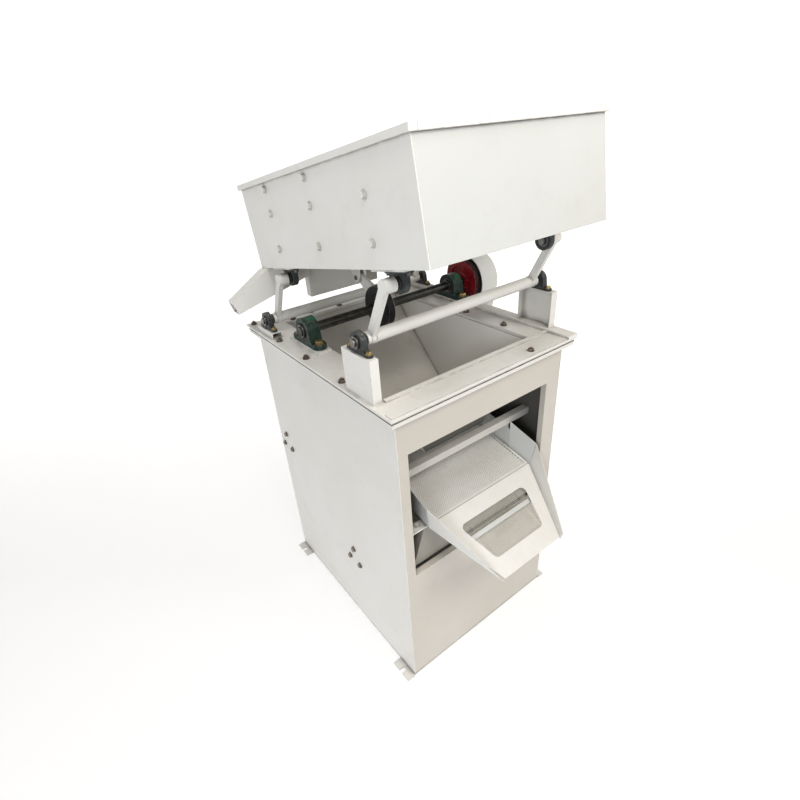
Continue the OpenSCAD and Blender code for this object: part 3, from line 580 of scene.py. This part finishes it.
def bearing_seal(bm, x, y, z):
    """A rubber ring on the outer face of the bearing insert whose middle is at this place, in millimetres."""
    y, z = y * MM, z * MM
    reaches = [(math.hypot(v.y - y, v.z - z), abs(v.x)) for v in near("bearing_inserts", x * MM, y, 0.034, z)]
    bore, radius = min(r for r, _ in reaches), max(r for r, _ in reaches)
    face = max(out for r, out in reaches if r > radius - 1 * MM)
    side = math.copysign(1, x)
    inner = bore + 6.3 * MM
    section = [(inner, -0.4 * MM), (inner, 0.7 * MM), (radius - 2.4 * MM, 1.1 * MM),
               (radius - 1.6 * MM, -0.4 * MM), (inner, -0.4 * MM)]
    turned = Matrix.Translation((side * face, y, z)) @ Matrix.Rotation(side * math.pi / 2, 4, "Y")
    lathe(bm, section, turned, 40)


def grease_nipple(bm, x, y, z, out):
    """A nipple that leans on top of a bearing's housing, out from its middle, in millimetres."""
    section = [(0, -2), (2.4, -2), (2.4, 1.6), (1.4, 2.2), (1.4, 3.4), (2.0, 4.2), (1.6, 5.4), (0, 6.0)]
    lean = Matrix.Rotation(math.radians(38), 4, "X")
    place = Vector((x, y, z)) + lean @ Vector((0, 0, out))
    lathe(bm, [(r * MM, h * MM) for r, h in section], Matrix.Translation(place * MM) @ lean, 14)


def make_fittings():
    nipples, seals, studs = bmesh.new(), bmesh.new(), bmesh.new()
    for places, out in ((FEET, 25.4), (DRIVE, 38.0)):
        for x, y, z in places:
            grease_nipple(nipples, x, y, z, out)
            bearing_seal(seals, x, y, z)
    small_piece("grease_nipples", nipples, "cabinet", "dark_bolt")
    small_piece("bearing_seals", seals, "cabinet", "belt_rubber")
    bolts = [(-322, y) for y in (-178, 22, 200, 404)] + [(256, y) for y in (-213, -44, 299)]
    bolts += [(-120, 365), (166, 365), (166, -397), (-200, 347), (-12, 347)]
    section = [(0, -0.5), (3.4, -0.5), (3.4, 3.6), (2.6, 4.4), (0, 4.4)]
    for x, y in bolts:
        head = near("frame_bolts", x * MM, y * MM, 0.014)
        if head:
            top = max(v.z for v in head)
            place = Matrix.Translation((x * MM, y * MM, top))
            lathe(studs, [(r * MM, h * MM) for r, h in section], place, 16)
    small_piece("frame_studs", studs, "cabinet", "dark_bolt")


# ---------------------------------------------------------------- camera, floor and light
CAMERA_PLACE = (-0.868, -1.2115, 1.6593)
CAMERA_TURN = (1.0408, 0.06366, -0.65085)
CAMERA_LENS = 22.36
MACHINE_MIDDLE = Vector((0, 0, 0.9))
WARM, COOL, NEUTRAL = (1.0, 0.97, 0.92), (0.90, 0.945, 1.0), (1.0, 0.99, 0.97)


def make_camera():
    data = bpy.data.cameras.new("camera")
    data.lens = CAMERA_LENS
    data.sensor_width = 36
    data.clip_end = 50
    camera = bpy.data.objects.new("camera", data)
    camera.location = CAMERA_PLACE
    camera.rotation_euler = CAMERA_TURN
    bpy.context.scene.collection.objects.link(camera)
    bpy.context.scene.camera = camera


def area_light(name, place, size, power, colour):
    """A square soft light that looks at the middle of the machine."""
    data = bpy.data.lights.new(name, "AREA")
    data.shape = "RECTANGLE"
    data.size = size
    data.size_y = size
    data.energy = power
    data.color = colour
    lamp = bpy.data.objects.new(name, data)
    lamp.location = place
    lamp.rotation_euler = (MACHINE_MIDDLE - Vector(place)).to_track_quat("-Z", "Y").to_euler()
    lamp.visible_camera = False
    bpy.context.scene.collection.objects.link(lamp)


def make_light():
    world = bpy.data.worlds.new("studio")
    world.use_nodes = True
    background = world.node_tree.nodes["Background"]
    background.inputs["Color"].default_value = (1.0, 1.0, 1.0, 1)
    background.inputs["Strength"].default_value = 0.10
    bpy.context.scene.world = world
    bpy.context.scene.view_settings.view_transform = "Standard"
    bpy.context.scene.view_settings.gamma = 0.86
    area_light("key", (0.9, -2.4, 2.75), 1.0, 29, WARM)
    area_light("high", (-0.3, -2.5, 3.7), 1.1, 31, WARM)
    area_light("left", (-2.6, -2.2, 1.7), 1.2, 46, COOL)
    area_light("top", (-0.9, -1.0, 4.4), 1.4, 40, NEUTRAL)


def make_stage():
    """A round pale floor that sweeps up into a wall; its far side glows as a lit backdrop."""
    reach, bend, rise, below = 5.0, 2.2, 5.5, 0.0005
    profile = [(0.0, 0.0), (reach, 0.0)]
    profile += [(reach + bend * math.sin(a), bend * (1 - math.cos(a)))
                for a in (math.pi / 2 * k / 12 for k in range(1, 13))]
    profile.append((reach + bend, rise))
    bm = bmesh.new()
    lathe(bm, profile, Matrix.Translation((0, 0, CAD_BOX[0][2] - below)), 96)
    floor = bpy.data.objects.new("floor", mesh_from(bm, "floor"))
    bpy.context.scene.collection.objects.link(floor)
    g = Graph("floor")
    to_backdrop = (0.61, 0.79, 0.0)
    reached = g.add("ShaderNodeVectorMath", {0: g.place, 1: to_backdrop}, operation="DOT_PRODUCT")
    away = reached.outputs["Value"]
    glow = g.math("ADD", g.remap(away, -2.2, -1.1, 0.07, 0.62), g.remap(away, 0.0, 2.5, 0.0, 0.3))
    g.tree.links.new(glow, g.shader.inputs["Emission Strength"])
    g.shader.inputs["Emission Color"].default_value = (1.0, 0.99, 0.98, 1)
    tone = g.blend(g.noise(0.8, 2), (0.40, 0.40, 0.40), (0.42, 0.42, 0.42))
    floor.data.materials.append(g.finish(tone, g.remap(g.noise(3, 2), 0.3, 0.7, 0.80, 0.95)))


make_camera()
make_light()
make_stage()


# ---------------------------------------------------------------- every part of the frame
# Width of the rounded edge, in millimetres, by how the part is made.
PRESSED = 0.7         # every part that isn't named below
THIN = 0.4
FORGED = 0.5
CAST = 2.2
EDGE_OF = {
    "drive_housings": CAST, "rocker_housings": 1.6, "box_housings": 1.6, "motor_body": 1.0,
    "drive_pulley": 0.8, "motor_pulley": 0.8, "belt_guard": 1.2, "box_rim": 1.2, "top_frame": 1.0,
    "left_post": 1.0, "right_post": 1.0, "front_arms": 1.5, "rear_arms": 1.5, "rod_plate": 1.5,
    "rod_head": 1.5, "foot_lugs": 1.0, "cross_bars": 1.5, "base_frame": 1.0,
    "hopper_back": THIN, "hopper_sides": THIN, "hopper_front": THIN, "fines_slide": THIN,
    "tray_walls": THIN, "tray_chute": THIN, "tray_apron": THIN, "tray_mesh_bar": THIN, "tray_lugs": THIN,
    "drop_throat": THIN, "side_spout": THIN, "box_pan": THIN,
    "frame_bolts": FORGED, "wall_bolts": FORGED, "bearing_bolts": FORGED, "box_bolts": FORGED,
    "bearing_inserts": FORGED, "box_inserts": FORGED, "front_pins": 0.8, "rear_pins": 0.8,
    "drive_shaft": 0.8, "motor_shaft": 0.8, "eccentric": 0.6, "drive_belt": 0.8,
}
# Faces that look into the closed cabinet take a near-black paint: painted shade.
INSIDE_OF = {
    "left_panel": [(1, 0, 0)], "right_panel": [(-1, 0, 0)],
    "back_panel": [(0, -1, 0)], "front_panel": [(0, 1, 0)],
    "hopper_front": [(0, -1, 0)], "hopper_back": [(0, 0.5, -0.85)],
    "corner_uprights": [(0, 1, 0), (0, -1, 0), (1, 0, 0), (-1, 0, 0)],
}
MADE_ANEW = ("tray_floor", "sieve_screen", "tray_mesh")
# Parts whose paint is a darker copy of their slot's paint: painted shade.
PAINT_OF = {"front_panel": "front_shade_paint", "tray_apron": "apron_shade_paint", "tray_walls": "cool_shade_paint",
            "belt_guard": "cool_shade_paint", "box_front": "cool_shade_paint", "tray_mesh_bar": "cool_shade_paint"}

for node in sorted(NODES):
    NODES[node].data.materials.clear()
    NODES[node].data.materials.append(MATERIALS[PAINT_OF.get(node, SLOT_OF[node])])
    if node not in MADE_ANEW:
        soft_copy(node, EDGE_OF.get(node, PRESSED) * MM, inside=INSIDE_OF.get(node))

make_sheets()
make_welds()
make_lips()
make_fittings()
